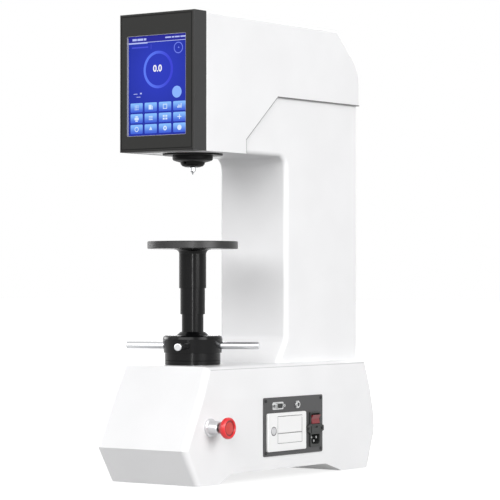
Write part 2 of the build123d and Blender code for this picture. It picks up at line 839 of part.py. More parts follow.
# ---------------------------------------------------------------- handwheel
def bars(radius, inner, outer, mode=Mode.ADD):
    """Level rods that radiate from the spindle axis."""
    for i in range(bar_count):
        angle = radians(bar_turn + 360 / bar_count * i)
        outward = Vector(cos(angle), sin(angle), 0)
        root = outward * inner + Vector(0, 0, bar_height)
        with BuildSketch(Plane(origin=root, z_dir=outward)) as section:
            Circle(radius)
        extrude(section.sketch, amount=outer - inner, mode=mode)


ring_top = hub_bottom + ring_height
with BuildPart() as handwheel_hub:
    turned([
        (nut_radius, hub_stub_bottom), (hub_stub_radius, hub_stub_bottom), (hub_stub_radius, hub_bottom),
        (ring_inner_radius - seat_gap, hub_bottom), (ring_inner_radius - seat_gap, ring_top + seat_gap),
        (hub_low_radius, ring_top + seat_gap), (hub_low_radius, hub_step - groove),
        (hub_low_radius - groove, hub_step - groove), (hub_low_radius - groove, hub_step),
        (hub_radius - 1.5, hub_step), (hub_radius, hub_shoulder - 6), (hub_radius - 1.2, hub_shoulder - 2),
        (hub_radius - 4, hub_shoulder), (hub_boss_radius, hub_shoulder), (low_sleeve_radius + 2.2, hub_boss_top),
        (low_sleeve_radius + 0.3, hub_boss_top), (low_sleeve_radius + 0.3, hub_shelf_top),
        (screw_radius + 0.5, hub_shelf_top), (screw_radius + 0.5, hub_shelf_bottom),
        (nut_radius, hub_shelf_bottom),
    ])
    bars(bar_radius + seat_gap, bar_root, hub_radius + 4, Mode.SUBTRACT)
save(handwheel_hub, "handwheel_hub")

with BuildPart() as handwheel_ring:
    disc(hub_low_radius, hub_bottom, ring_top)
    chamfer(handwheel_ring.edges().filter_by(GeomType.CIRCLE), 0.6)
    disc(ring_inner_radius, hub_bottom, ring_top, mode=Mode.SUBTRACT)
save(handwheel_ring, "handwheel_ring")

with BuildPart() as lift_nut:
    disc(nut_radius, hub_stub_bottom, hub_shelf_bottom)
    disc(screw_radius + running_gap, hub_stub_bottom, hub_shelf_bottom, mode=Mode.SUBTRACT)
save(lift_nut, "lift_nut")

with BuildPart() as handwheel_bars:
    bars(bar_radius, bar_root, bar_reach)
    fillet(handwheel_bars.edges().filter_by(GeomType.CIRCLE), 1.5)
save(handwheel_bars, "handwheel_bars")

with BuildPart() as thrust_bearing:
    disc(bearing_radius, bearing_seat, bearing_seat + bearing_height)
    disc(hub_stub_radius + 0.4, bearing_seat, bearing_seat + bearing_height, mode=Mode.SUBTRACT)
    with BuildSketch(Plane.XZ):
        with Locations((bearing_radius, bearing_seat + bearing_height / 2)):
            Rectangle(3, 2)
    revolve(axis=Axis.Z, mode=Mode.SUBTRACT)
save(thrust_bearing, "thrust_bearing")

# ---------------------------------------------------------------- side panel
panel_y = (panel_front + panel_back) / 2
panel_z = (panel_low + panel_high) / 2
with BuildPart() as side_panel:
    box_between((side_face, panel_front, panel_low), (panel_face, panel_back, panel_high))
    fillet(side_panel.edges().filter_by(Axis.X), panel_corner)
    tub = printer_tub_inset - 0.3
    box_between(
        (side_face, printer_front + tub, printer_low + tub),
        (panel_face, printer_back - tub, printer_high - tub),
        mode=Mode.SUBTRACT,
    )
    box_between(
        (side_face, inlet_y - inlet_body_width / 2 - 0.3, inlet_low + 3.7),
        (panel_face, inlet_y + inlet_body_width / 2 + 0.3, inlet_high - 2.2),
        mode=Mode.SUBTRACT,
    )
    box_between(
        (side_face, serial_y - 9.4, serial_z - 5.4), (panel_face, serial_y + 9.4, serial_z + 5.4),
        mode=Mode.SUBTRACT,
    )
    side_disc(round_radius + seat_gap, side_face, panel_face, round_y, round_z, Mode.SUBTRACT)
save(side_panel, "side_panel")

with BuildPart() as panel_screws:
    for y in (panel_front + panel_screw_inset, panel_back - panel_screw_inset):
        for z in (panel_low + panel_screw_inset, panel_high - panel_screw_inset):
            side_disc(screw_head_radius, panel_face, panel_face + screw_head_height, y, z)
    fillet(panel_screws.faces().filter_by(Axis.X).sort_by(Axis.X)[-4:].edges(), 0.6)
save(panel_screws, "panel_screws")

# ---------------------------------------------------------------- strip printer
lip_face = panel_face + printer_lip
tub_back = side_face - printer_depth
hinge_z = mouth_high - hinge_drop
hinge_x = lip_face - door_thickness / 2
with BuildPart() as printer_body:
    box_between((panel_face, printer_front, printer_low), (lip_face, printer_back, printer_high))
    fillet(printer_body.edges().filter_by(Axis.X), 3)
    fillet(printer_body.faces().sort_by(Axis.X)[-1].edges(), 1)
    box_between(
        (tub_back, printer_front + printer_tub_inset, printer_low + printer_tub_inset),
        (panel_face, printer_back - printer_tub_inset, printer_high - printer_tub_inset),
    )
    # paper bay, open at the front above the paper slit
    box_between((tub_back + tub_wall, mouth_front, mouth_low + 3), (lip_face - 4, mouth_back, mouth_high), Mode.SUBTRACT)
    box_between((lip_face - 5, mouth_front, slit_height), (lip_face, mouth_back, mouth_high), Mode.SUBTRACT)
    # groove that outlines the fixed lower part of the mouth
    box_between((lip_face - 0.6, mouth_front, mouth_low), (lip_face, mouth_front + 0.8, slit_height), Mode.SUBTRACT)
    box_between((lip_face - 0.6, mouth_back - 0.8, mouth_low), (lip_face, mouth_back, slit_height), Mode.SUBTRACT)
    box_between((lip_face - 0.6, mouth_front, mouth_low), (lip_face, mouth_back, mouth_low + 0.8), Mode.SUBTRACT)
    # seat of the catch button
    side_disc(button_radius + 0.3, lip_face - 12, lip_face, button_y, button_z, Mode.SUBTRACT)
    # pads that carry the door's pin and the roll's stub axles
    cross_disc(hinge_pin_radius, mouth_front - 1, mouth_front + 3, hinge_x, hinge_z)
    cross_disc(hinge_pin_radius, mouth_back - 3, mouth_back + 1, hinge_x, hinge_z)
    cross_disc(roll_core - 0.3, mouth_front - 1, mouth_front + 10, roll_x, roll_z)
    cross_disc(roll_core - 0.3, mouth_back - 10, mouth_back + 1, roll_x, roll_z)
save(printer_body, "printer_body")

with BuildPart() as button_ring:
    side_disc(button_ring_radius, lip_face, lip_face + 0.8, button_y, button_z)
    side_disc(button_radius + 0.3, lip_face, lip_face + 0.8, button_y, button_z, Mode.SUBTRACT)
save(button_ring, "button_ring")

with BuildPart() as printer_door:
    box_between(
        (lip_face - door_thickness, mouth_front + door_gap, slit_height + door_gap),
        (lip_face, mouth_back - door_gap, mouth_high - door_gap),
    )
    fillet(printer_door.faces().sort_by(Axis.X)[-1].edges(), 0.6)
    # knuckles round the fixed pins, with the door cut back round them
    for y in (mouth_front + door_gap, mouth_back - door_gap - 2):
        cross_disc(hinge_pin_radius + 1.2, y, y + 2, hinge_x, hinge_z)
    cross_disc(hinge_pin_radius + running_gap, mouth_front, mouth_back, hinge_x, hinge_z, Mode.SUBTRACT)
    # cheeks that carry the platen roller
    for y in (mouth_front + 2, mouth_back - 4.4):
        box_between(
            (platen_x - 2.6, y, platen_z - 2.6), (lip_face - door_thickness + 0.1, y + 2.4, platen_z + 8)
        )
        cross_disc(1.5 + running_gap, y, y + 2.4, platen_x, platen_z, Mode.SUBTRACT)
save(printer_door, "printer_door")

with BuildPart() as platen_roller:
    middle = (mouth_front + mouth_back) / 2
    cross_disc(platen_radius, middle - platen_length / 2, middle + platen_length / 2, platen_x, platen_z)
    cross_disc(1.5, mouth_front + 2, mouth_back - 2, platen_x, platen_z)
save(platen_roller, "platen_roller")

with BuildPart() as printer_button:
    side_disc(button_radius, lip_face - 8, lip_face + 1.6, button_y, button_z)
    fillet(printer_button.faces().sort_by(Axis.X)[-1].edges(), 1)
save(printer_button, "printer_button")

with BuildPart() as paper_roll:
    cross_disc(roll_radius, middle - roll_length / 2, middle + roll_length / 2, roll_x, roll_z)
    cross_disc(roll_core, middle - roll_length / 2, middle + roll_length / 2, roll_x, roll_z, Mode.SUBTRACT)
save(paper_roll, "paper_roll")

# ---------------------------------------------------------------- serial and round sockets
with BuildPart() as serial_socket:
    box_between(
        (panel_face, serial_y - serial_width / 2, serial_z - serial_height / 2),
        (panel_face + 1, serial_y + serial_width / 2, serial_z + serial_height / 2),
    )
    fillet(serial_socket.edges().filter_by(Axis.X), 2)
    with BuildSketch(Plane.YZ.offset(panel_face + 1)):
        with Locations((serial_y, serial_z)):
            Trapezoid(shell_width, shell_height, 80, rotation=180)
            fillet(vertices(), 2.2)
    extrude(amount=shell_reach - 1)
    with BuildSketch(Plane.YZ.offset(panel_face + shell_reach)):
        with Locations((serial_y, serial_z)):
            Trapezoid(shell_width - 1.2, shell_height - 1.2, 80, rotation=180)
            fillet(vertices(), 1.8)
    extrude(amount=-shell_reach, mode=Mode.SUBTRACT)
save(serial_socket, "serial_socket")

with BuildPart() as serial_insert:
    with BuildSketch(Plane.YZ.offset(panel_face - 8)):
        with Locations((serial_y, serial_z)):
            Trapezoid(shell_width - 1.4, shell_height - 1.4, 80, rotation=180)
            fillet(vertices(), 1.6)
    extrude(amount=8 + shell_reach - 0.6)
    with BuildSketch(Plane.YZ.offset(panel_face + shell_reach - 0.6)):
        for row, count in ((1.4, 5), (-1.4, 4)):
            with Locations((serial_y, serial_z + row)):
                with GridLocations(2.76, 0, count, 1):
                    Circle(0.6)
    extrude(amount=-4, mode=Mode.SUBTRACT)
save(serial_insert, "serial_insert")

with BuildPart() as jack_screws:
    for y in (serial_y - jack_offset, serial_y + jack_offset):
        with BuildSketch(Plane.YZ.offset(panel_face + 1)):
            with Locations((y, serial_z)):
                RegularPolygon(2.7, 6)
                Circle(1.3, mode=Mode.SUBTRACT)
        extrude(amount=4.6)
save(jack_screws, "jack_screws")

with BuildPart() as round_socket:
    side_disc(round_radius, side_face - 14, panel_face + 3.4, round_y, round_z)
    with BuildSketch(Plane.YZ.offset(panel_face)):
        with Locations((round_y, round_z)):
            RegularPolygon(7, 6)
    extrude(amount=1.8)
    side_disc(round_hole, panel_face - 6, panel_face + 3.4, round_y, round_z, Mode.SUBTRACT)
save(round_socket, "round_socket")

# ---------------------------------------------------------------- mains inlet
flange_face = panel_face + inlet_flange
inlet_back = side_face - inlet_depth
rocker_z = (rocker_low + rocker_high) / 2
rocker_pivot_x = flange_face - 4
with BuildPart() as inlet_housing:
    with BuildSketch(Plane.YZ.offset(panel_face)):
        with Locations((inlet_y, (inlet_low + inlet_high) / 2)):
            RectangleRounded(inlet_width, inlet_high - inlet_low, 2)
        with BuildLine():
            Polyline(
                (inlet_y - inlet_ear, inlet_ear_z - 4), (inlet_y, inlet_ear_z - 14),
                (inlet_y + inlet_ear, inlet_ear_z - 4), (inlet_y + inlet_ear, inlet_ear_z + 4),
                (inlet_y, inlet_ear_z + 14), (inlet_y - inlet_ear, inlet_ear_z + 4), close=True,
            )
        make_face()
    extrude(amount=inlet_flange)
    box_between(
        (inlet_back, inlet_y - inlet_body_width / 2, inlet_low + 4),
        (panel_face, inlet_y + inlet_body_width / 2, inlet_high - 2.5),
    )
    # socket cavity with two chamfered corners at its foot
    with BuildSketch(Plane.YZ.offset(flange_face)):
        with Locations((inlet_y, (cavity_low + cavity_high) / 2)):
            Rectangle(cavity_width, cavity_high - cavity_low)
        low_corners = vertices().sort_by(Axis.Y)[:2]
        chamfer(low_corners, 4)
    extrude(amount=-cavity_depth, mode=Mode.SUBTRACT)
    # bay of the fuse drawer and well of the rocker
    box_between(
        (flange_face - fuse_depth - 0.5, inlet_y - fuse_width / 2 - 0.3, fuse_low - 0.3),
        (flange_face, inlet_y + fuse_width / 2 + 0.3, fuse_high + 0.3),
        mode=Mode.SUBTRACT,
    )
    box_between(
        (flange_face - rocker_recess - 3, inlet_y - rocker_width / 2 - 0.3, rocker_low - 0.3),
        (flange_face, inlet_y + rocker_width / 2 + 0.3, rocker_high + 0.3),
        mode=Mode.SUBTRACT,
    )
    cross_disc(
        trunnion_radius + running_gap, inlet_y - rocker_width / 2 - 0.9, inlet_y + rocker_width / 2 + 0.9,
        rocker_pivot_x, rocker_z, Mode.SUBTRACT,
    )
save(inlet_housing, "inlet_housing")

with BuildPart() as inlet_screws:
    for y in (inlet_y - inlet_ear + 4.6, inlet_y + inlet_ear - 4.6):
        side_disc(2.6, flange_face, flange_face + 1.3, y, inlet_ear_z)
save(inlet_screws, "inlet_screws")

pin_floor = flange_face - cavity_depth
with BuildPart() as inlet_pins:
    for y, z in ((-7, 11.4), (7, 11.4), (0, 5.4)):
        box_between(
            (pin_floor, inlet_y + y - inlet_pin_width / 2, cavity_low + z - inlet_pin_height / 2),
            (flange_face - 3, inlet_y + y + inlet_pin_width / 2, cavity_low + z + inlet_pin_height / 2),
        )
    chamfer(inlet_pins.faces().sort_by(Axis.X)[-3:].edges(), 0.4)
save(inlet_pins, "inlet_pins")

with BuildPart() as fuse_drawer:
    box_between(
        (flange_face - fuse_depth, inlet_y - fuse_width / 2, fuse_low),
        (flange_face + 0.8, inlet_y + fuse_width / 2, fuse_high),
    )
    box_between(
        (flange_face - 1, inlet_y - 5, fuse_high - 3), (flange_face + 0.8, inlet_y + 5, fuse_high), Mode.SUBTRACT
    )
save(fuse_drawer, "fuse_drawer")

with BuildPart() as power_rocker:
    rocker_half = (rocker_high - rocker_low) / 2
    with BuildSketch(Plane.XZ.offset(-inlet_y)):
        with BuildLine():
            Polyline(
                (rocker_pivot_x - 3, rocker_z - rocker_half + 2.4),
                (rocker_pivot_x + 5.2, rocker_z - rocker_half + 0.9),
                (rocker_pivot_x + 3.6, rocker_z),
                (rocker_pivot_x + 7.4, rocker_z + rocker_half - 2.2),
                (rocker_pivot_x - 3, rocker_z + rocker_half - 3.6),
                close=True,
            )
        make_face()
    extrude(amount=rocker_width / 2 - 0.6, both=True)
    # trunnions that run in the housing's side walls
    reach = rocker_width / 2 + 0.7
    cross_disc(trunnion_radius, inlet_y - reach, inlet_y + reach, rocker_pivot_x, rocker_z)
save(power_rocker, "power_rocker")

# ---------------------------------------------------------------- emergency stop
collar_face = side_face + estop_collar_length
estop_centre = (0, estop_y, estop_z)
estop_plane = Plane(origin=estop_centre, x_dir=(1, 0, 0), z_dir=(0, -1, 0))
estop_axis = Axis(estop_centre, (1, 0, 0))
with BuildPart() as estop_collar:
    with BuildSketch(estop_plane):
        with BuildLine():
            Polyline(
                (side_face, estop_stem_radius + 0.4), (side_face, estop_collar_radius),
                (side_face + 2.5, estop_collar_radius), (side_face + 4, estop_neck_radius),
                (collar_face - 2, estop_neck_radius - 1.5), (collar_face, estop_neck_radius - 3),
                (collar_face, estop_stem_radius + 0.4), close=True,
            )
        make_face()
    revolve(axis=estop_axis)
    side_disc(estop_hole_radius, side_face - 10, side_face, estop_y, estop_z)
    side_disc(estop_stem_radius + 0.4, side_face - 10, side_face, estop_y, estop_z, Mode.SUBTRACT)
save(estop_collar, "estop_collar")

with BuildPart() as estop_stem:
    side_disc(estop_stem_radius, side_face - 16, side_face + estop_head_bottom, estop_y, estop_z)
save(estop_stem, "estop_stem")

with BuildPart() as estop_head:
    head_low = side_face + estop_head_bottom
    head_high = side_face + estop_head_top
    with BuildSketch(estop_plane):
        with BuildLine():
            Polyline(
                (head_low, 0), (head_low, estop_head_radius - 7), (head_low + 3, estop_head_radius - 5.5),
                (head_high - 8, estop_head_radius - 0.8),
                (head_high - 5, estop_head_radius), (head_high - 1.5, estop_head_radius - 0.6),
                (head_high, estop_head_radius - 2.4), (head_high, estop_head_radius - 4),
                (head_high - 2, estop_head_radius - 5), (head_high - 1, 0), close=True,
            )
        make_face()
    revolve(axis=estop_axis)
save(estop_head, "estop_head")

with BuildPart() as estop_contacts:
    contact_x = side_face - 10 - contact_depth
    half = contact_size / 2
    box_between((contact_x, estop_y - half, estop_z - half), (side_face - 10, estop_y + half, estop_z + half))
    chamfer(estop_contacts.edges().filter_by(Axis.X), 2)
    side_disc(estop_stem_radius + 0.6, side_face - 21, side_face - 10, estop_y, estop_z, Mode.SUBTRACT)
save(estop_contacts, "estop_contacts")
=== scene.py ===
"""Looks of a bench hardness tester: finishes, the lit display, small fixings, painted shade lines,
light and camera.
"""
import json
import math

import bmesh
import bpy
from mathutils import Matrix, Vector


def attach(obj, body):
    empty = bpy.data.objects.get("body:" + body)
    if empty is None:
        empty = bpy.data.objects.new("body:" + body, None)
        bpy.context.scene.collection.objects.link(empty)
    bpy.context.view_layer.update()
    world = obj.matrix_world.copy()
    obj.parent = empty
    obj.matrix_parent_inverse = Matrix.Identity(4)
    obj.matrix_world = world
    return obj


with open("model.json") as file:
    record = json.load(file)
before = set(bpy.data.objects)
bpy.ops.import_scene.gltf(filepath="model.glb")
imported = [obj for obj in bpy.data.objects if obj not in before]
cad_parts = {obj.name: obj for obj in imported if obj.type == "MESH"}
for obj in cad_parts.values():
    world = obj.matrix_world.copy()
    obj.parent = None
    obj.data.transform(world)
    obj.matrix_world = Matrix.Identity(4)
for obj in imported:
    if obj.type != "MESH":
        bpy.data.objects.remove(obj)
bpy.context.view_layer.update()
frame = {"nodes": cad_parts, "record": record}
MM = 0.001


# ---------------------------------------------------------------- shader maths
SEEN_RAYS = ("Is Glossy Ray", "Is Transmission Ray")     # beside the camera's own


class Value:
    """A shader socket that takes Python's arithmetic and adds the Math nodes for it."""

    def __init__(self, finish, socket):
        self.finish = finish
        self.socket = socket

    def maths(self, operation, first, second=0.0):
        """Adds a Math node for one operation."""
        return self.finish.node("Math", {"operation": operation}, {0: first, 1: second})

    def __add__(self, other):
        return self.maths("ADD", self, other)

    def __radd__(self, other):
        return self.maths("ADD", other, self)

    def __sub__(self, other):
        return self.maths("SUBTRACT", self, other)

    def __rsub__(self, other):
        return self.maths("SUBTRACT", other, self)

    def __mul__(self, other):
        return self.maths("MULTIPLY", self, other)

    def __rmul__(self, other):
        return self.maths("MULTIPLY", other, self)

    def __truediv__(self, other):
        return self.maths("DIVIDE", self, other)

    def between(self, low, high):
        """0 below low, 1 above high and a smooth step from one to the other."""
        return self.finish.node(
            "MapRange", {"interpolation_type": "SMOOTHSTEP", "clamp": True},
            {"Value": self, "From Min": low, "From Max": high},
        )


class Finish:
    """A Principled material with the nodes that vary it."""

    def __init__(self, name, colour, roughness, metallic=0.0, **constants):
        self.material = bpy.data.materials.new(name)
        self.material.use_nodes = True
        self.tree = self.material.node_tree
        self.principled = self.tree.nodes["Principled BSDF"]
        self.put("Base Color", (*colour, 1.0))
        self.put("Roughness", roughness)
        self.put("Metallic", metallic)
        for socket, value in constants.items():
            self.put(socket.replace("_", " ").title().replace("Ior", "IOR"), value)

    def put(self, socket, value):
        """Feeds one of the Principled shader's own sockets."""
        self.feed(self.principled.inputs[socket], value)

    def feed(self, socket, value):
        """Links a Value to a socket, or sets the socket to a plain value."""
        if isinstance(value, Value):
            self.tree.links.new(value.socket, socket)
        else:
            socket.default_value = value

    def node(self, kind, settings, inputs, output=0):
        """Adds a shader node and returns one of its outputs."""
        made = self.tree.nodes.new("ShaderNode" + kind)
        for setting, value in settings.items():
            setattr(made, setting, value)
        for socket, value in inputs.items():
            self.feed(made.inputs[socket], value)
        return Value(self, made.outputs[output])

    def place(self, scale=(1, 1, 1)):
        """Object coordinates in metres, stretched by scale."""
        coordinates = self.node("TexCoord", {}, {}, "Object")
        return self.node("Mapping", {}, {"Vector": coordinates, "Scale": scale})

    def axes(self):
        """The X, Y and Z of the object coordinates as three values."""
        split = self.node("SeparateXYZ", {}, {"Vector": self.place()})
        outputs = split.socket.node.outputs
        return [Value(self, outputs[axis]) for axis in ("X", "Y", "Z")]

    def length(self, vector):
        """How long a vector is."""
        return self.node("VectorMath", {"operation": "LENGTH"}, {0: vector}, "Value")

    def distance(self, x, y, z):
        """How far a place is from the origin."""
        return self.length(self.node("CombineXYZ", {}, {"X": x, "Y": y, "Z": z}))

    def noise(self, scale, detail=2.0, stretch=(1, 1, 1)):
        """Noise of so many cells to the metre, drawn out along the axes with a stretch under 1."""
        where = self.place(stretch)
        return self.node("TexNoise", {}, {"Vector": where, "Scale": scale, "Detail": detail}, "Fac")

    def blend(self, mask, low, high):
        """A colour that goes from low to high as the mask goes from 0 to 1."""
        ends = [end if isinstance(end, Value) else (*end, 1.0) for end in (low, high)]
        return self.node("Mix", {"data_type": "RGBA"}, {0: mask, 6: ends[0], 7: ends[1]}, 2)

    def seen_white(self):
        """1 for rays that see the surface, mirror it or look through glass, 0 for the rest."""
        camera = self.node("LightPath", {}, {}, "Is Camera Ray")
        mirrored, through = (Value(self, camera.socket.node.outputs[ray]) for ray in SEEN_RAYS)
        return camera.maths("MAXIMUM", camera.maths("MAXIMUM", camera, mirrored), through)

    def vary_roughness(self, middle, pattern, swing):
        """Lets the roughness follow a pattern, by half the swing to either side of the middle."""
        self.put("Roughness", middle + (pattern - 0.5) * swing)

    def bump(self, height, depth):
        """Raises the surface by a pattern, with the depth in metres."""
        self.put(
            "Normal", self.node("Bump", {}, {"Height": height, "Distance": depth, "Strength": 1.0}),
        )


def srgb(red, green, blue):
    """A display colour of 0 to 255 as linear light."""
    def linear(level):
        level /= 255
        return level / 12.92 if level <= 0.04045 else ((level + 0.055) / 1.055) ** 2.4
    return tuple(linear(level) for level in (red, green, blue))


# ---------------------------------------------------------------- finishes
# Noise scales, in cells to the metre.
DRIFT = 9                   # slow change of shade over an enamelled cover
WAVE = 60                   # gentle waves in lacquer
TRACKS = 140                # copper tracks on a circuit board
PEEL = 420                  # orange peel of sprayed enamel
MOULD_SKIN = 500            # skin of a glossy moulding
BRUSH = 1100                # brush marks under lacquer
MILL_LINES = 1400
RUBBER_GRAIN = 1500
PAPER_TURNS = 1800          # edges of the turns of a paper roll
SPARK_GRAIN = 900.0         # spark-eroded grain of a matt moulding
LATHE_RINGS = 2600.0

# Patterns that are stretched along one or two axes.
UPRIGHT_RINGS = (0.02, 0.02, 1.0)
UPRIGHT_BRUSH = (0.1, 0.1, 1.0)
LINES_ALONG = (0.05, 1.0, 0.05)
PAPER_STRETCH = (1, 0.02, 1)
BOARD_STRETCH = (1, 1, 3)

STOP_Y = -74.0              # axis of the stop button
STOP_Z = 93.3
WHITE = srgb(238, 238, 239)
CHARCOAL = srgb(44, 44, 43)


def enamel(name, colour, roughness, peel_depth):
    """Sprayed enamel with a fine orange peel and a soft sheen."""
    paint = Finish(name, colour, roughness, coat_weight=0.25, coat_roughness=0.18)
    peel = paint.noise(PEEL, 3)
    drift = paint.noise(DRIFT, 2)
    shade = tuple(level * 0.965 for level in colour)
    paint.put("Base Color", paint.blend(drift.between(0.3, 0.7), shade, colour))
    paint.vary_roughness(roughness, drift, 0.06)
    paint.bump(peel, peel_depth)
    return paint


def moulded(name, colour, roughness, **constants):
    """Moulded plastic with a fine spark-eroded grain."""
    plastic = Finish(name, colour, roughness, **constants)
    speck = plastic.noise(SPARK_GRAIN, 2)
    plastic.vary_roughness(roughness, speck, 0.1)
    plastic.bump(speck, 0.00004)
    return plastic


def turned_steel(name, colour, roughness, metallic=1.0):
    """Metal with the faint rings that a lathe leaves, level round the upright axis."""
    metal = Finish(name, colour, roughness, metallic)
    rings = metal.noise(LATHE_RINGS, 1, UPRIGHT_RINGS)
    metal.vary_roughness(roughness, rings, 0.12)
    metal.bump(rings, 0.000012)
    return metal


def milled(name, colour, roughness, metallic=1.0):
    """Milled metal with straight tool lines."""
    metal = Finish(name, colour, roughness, metallic)
    lines = metal.noise(MILL_LINES, 1, LINES_ALONG)
    metal.vary_roughness(roughness, lines, 0.15)
    metal.bump(lines, 0.00001)
    return metal


def bezel_plastic():
    """Charcoal moulding, painted a shade lighter on its two sides as a painted sheen."""
    plastic = moulded("bezel_plastic", CHARCOAL, 0.5, specular_ior_level=0.15)
    across, _, _ = plastic.axes()
    side_starts, side_ends = 5810.0, 5860.0     # squares of the distance from the middle plane
    # painted sheen: both sides get a lighter grey that stands in for the light they catch
    side = (across / MM * (across / MM)).between(side_starts, side_ends)
    plastic.put("Base Color", plastic.blend(side, CHARCOAL, srgb(60, 60, 60)))
    return plastic


def rubber(name, colour):
    """Matt rubber with a fine grain."""
    matt = Finish(name, colour, 0.78)
    matt.bump(matt.noise(RUBBER_GRAIN, 2), 0.00003)
    return matt


def coated_black(name, colour, roughness, coat):
    """Black lacquer over steel: dark, with a clear soft shine."""
    lacquer = Finish(
        name, colour, roughness, coat_weight=coat, coat_roughness=0.15, specular_ior_level=0.08,
    )
    wave = lacquer.noise(WAVE, 2)
    lacquer.vary_roughness(roughness, wave, 0.08)
    lacquer.bump(lacquer.noise(BRUSH, 1, UPRIGHT_BRUSH), 0.000006)
    return lacquer


def board_green():
    """Solder mask over a circuit board, lighter where tracks run under it."""
    board = Finish("board_green", srgb(24, 92, 52), 0.4)
    tracks = board.noise(TRACKS, 1, BOARD_STRETCH).between(0.48, 0.52)
    board.put("Base Color", board.blend(tracks, srgb(20, 78, 44), srgb(38, 120, 66)))
    return board


def paper():
    """A paper roll with the edges of its turns."""
    sheet = Finish("paper", srgb(238, 237, 230), 0.85)
    turns = sheet.noise(PAPER_TURNS, 1, PAPER_STRETCH)
    sheet.put("Base Color", sheet.blend(turns, srgb(224, 222, 214), srgb(243, 242, 236)))
    sheet.bump(turns, 0.00003)
    return sheet


def rocker_red():
    """Translucent red plastic of a lit rocker, faintly alight."""
    red = Finish("rocker_red", srgb(116, 24, 32), 0.3, coat_weight=0.1, coat_roughness=0.15)
    red.bump(red.noise(MOULD_SKIN, 1), 0.00001)
    red.put("Emission Color", (*srgb(128, 28, 36), 1.0))
    red.put("Emission Strength", 0.1)
    return red


def mushroom_red():
    """Moulded red of the stop button, warmer in the dished middle, with painted shade: darker on
    the skirt and a dark ring in the dish.
    """
    red = Finish("estop_red", srgb(214, 36, 44), 0.3, coat_weight=0.2, coat_roughness=0.12)
    along, across, up = red.axes()
    away = red.distance(0.0, across - STOP_Y * MM, up - STOP_Z * MM)
    # painted shade: the skirt below the face is made much darker than the face
    shaded_skirt = red.blend((along / MM).between(122.0, 127.0), srgb(140, 12, 24), srgb(222, 36, 42))
    # painted shade: a dark ring where the face dishes in
    ring_shade = away.between(0.0095, 0.0105) * (1 - away.between(0.0120, 0.0130))
    dished = red.blend(away.between(0.0100, 0.0130), srgb(200, 46, 36), shaded_skirt)
    red.put("Base Color", red.blend(ring_shade, dished, srgb(128, 14, 20)))
    red.bump(red.noise(MOULD_SKIN, 1), 0.00001)
    return red


FINISHES = {
    "casting_paint": enamel("casting_paint", WHITE, 0.42, 0.00006),
    "cover_paint": enamel("cover_paint", WHITE, 0.4, 0.00004),
    "bezel_plastic": bezel_plastic(),
    "touch_glass": Finish(
        "touch_glass", srgb(8, 9, 14), 0.06, coat_weight=1.0, coat_roughness=0.03,
    ),
    "lcd": Finish("lcd", srgb(22, 24, 60), 0.35),
    "zinc_plate": milled("zinc_plate", srgb(176, 178, 180), 0.38),
    "black_plate": coated_black("black_plate", srgb(26, 26, 26), 0.4, 0.0),
    "black_gloss": coated_black("black_gloss", srgb(8, 8, 9), 0.24, 0.2),
    "table_steel": turned_steel("table_steel", srgb(52, 52, 52), 0.34, 0.6),
    "bar_chrome": Finish("bar_chrome", srgb(206, 207, 209), 0.12, 1.0),
    "ground_steel": turned_steel("ground_steel", srgb(168, 170, 172), 0.26),
    "bush_bronze": turned_steel("bush_bronze", srgb(176, 132, 78), 0.34),
    "bare_aluminium": milled("bare_aluminium", srgb(190, 192, 194), 0.36),
    "black_rubber": rubber("black_rubber", srgb(30, 30, 30)),
    "motor_black": coated_black("motor_black", srgb(28, 28, 29), 0.45, 0.0),
    "board_green": board_green(),
    "supply_case": milled("supply_case", srgb(182, 184, 182), 0.42),
    "panel_grey": moulded("panel_grey", srgb(66, 66, 67), 0.46),
    "printer_white": moulded("printer_white", srgb(240, 240, 240), 0.44),
    "button_grey": moulded("button_grey", srgb(206, 206, 208), 0.4),
    "paper": paper(),
    "connector_metal": milled("connector_metal", srgb(205, 206, 206), 0.28),
    "black_plastic": moulded("black_plastic", srgb(40, 42, 41), 0.45),
    "rocker_red": rocker_red(),
    "estop_red": mushroom_red(),
    "collar_metal": turned_steel("collar_metal", srgb(206, 206, 208), 0.3, 0.85),
}
BLACKENED_NODES = ("panel_screws", "inlet_screws")


def finish_nodes():
    """Each CAD node takes its slot's finish, except the blackened screws."""
    blackened = milled("screw_black", srgb(58, 58, 59), 0.4, 0.8)
    for entry in frame["record"]["subparts"]:
        finish = FINISHES[entry["material_slot"]]
        if entry["node"] in BLACKENED_NODES:
            finish = blackened
        data = frame["nodes"][entry["node"]].data
        data.materials.clear()
        data.materials.append(finish.material)


# ---------------------------------------------------------------- making a piece
def keep(name, shape, finish, body):
    """A finished bmesh becomes an object that rides on a body and takes a slot."""
    bmesh.ops.recalc_face_normals(shape, faces=shape.faces)
    mesh = bpy.data.meshes.new(name)
    shape.to_mesh(mesh)
    shape.free()
    mesh.materials.append(finish.material)
    piece = bpy.data.objects.new(name, mesh)
    bpy.context.scene.collection.objects.link(piece)
    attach(piece, body)


def block(shape, low, high):
    """A block between two corners, in millimetres."""
    low, high = Vector(low) * MM, Vector(high) * MM
    size = high - low
    placed = Matrix.Translation((low + high) / 2) @ Matrix.Diagonal((*size, 1.0))
    return bmesh.ops.create_cube(shape, size=1.0, matrix=placed)["verts"]


def leaning_block(shape, low, high, turn, axis, place):
    """A block that is turned about an axis through the origin and then moved to its place."""
    verts = block(shape, low, high)
    stand = Matrix.Translation(Vector(place) * MM)
    lean = Matrix.Rotation(turn, 4, axis)
    bmesh.ops.transform(shape, matrix=stand @ lean, verts=verts)


def spun_ring(shape, section, centre, axis, steps):
    """A full ring: four corners of a section, spun about an axis through the centre."""
    corners = [shape.verts.new(Vector(corner) * MM) for corner in section]
    edges = [shape.edges.new((corners[i], corners[(i + 1) % 4])) for i in range(4)]
    bmesh.ops.spin(
        shape, geom=corners + edges, cent=Vector(centre) * MM, axis=axis, angle=math.tau,
        steps=steps, use_merge=True,
    )


